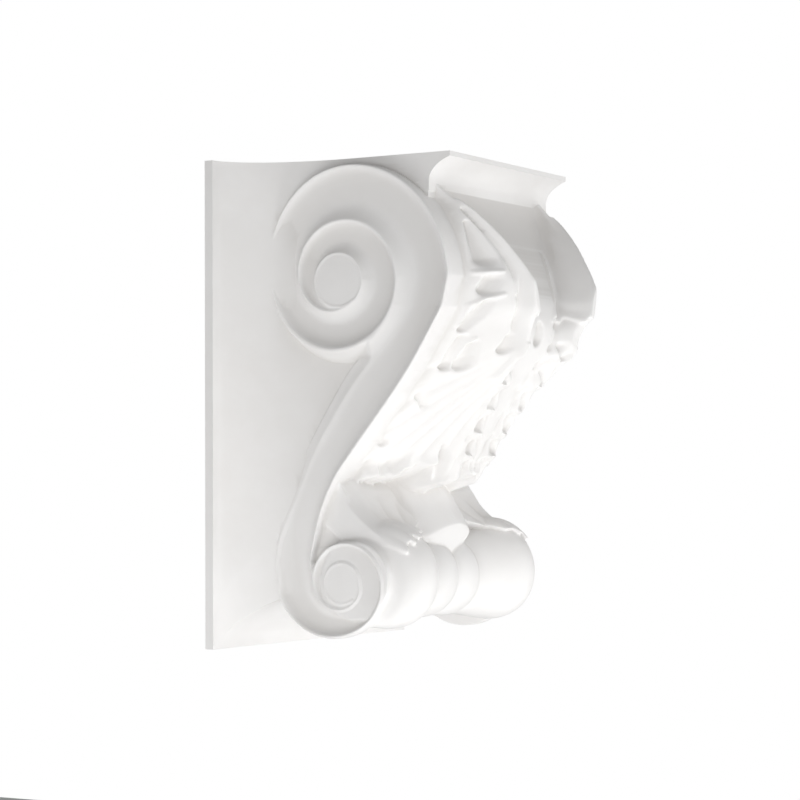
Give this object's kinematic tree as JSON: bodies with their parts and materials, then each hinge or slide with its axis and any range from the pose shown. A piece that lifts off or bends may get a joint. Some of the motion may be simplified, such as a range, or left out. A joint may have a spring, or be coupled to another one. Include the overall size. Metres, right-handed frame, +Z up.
{
  "type": "decorative wall bracket",
  "caption": "White moulded wall bracket with a coved backing plate, S-scrolls on its sides, an acanthus leaf down the front and a banded roll at the foot.",
  "frame": {"origin": "centre of the flat wall face of the backing plate", "axes": "+Z up, -Y forward out of the wall, X along the wall; the wall face looks along +Y"},
  "size_m": [0.231, 0.1906, 0.3],
  "materials": {
    "white_plaster": "matt white casting plaster, unpainted"
  },
  "bodies": {
    "root": {"wall_bracket": "white_plaster"}
  },
  "joints": []
}
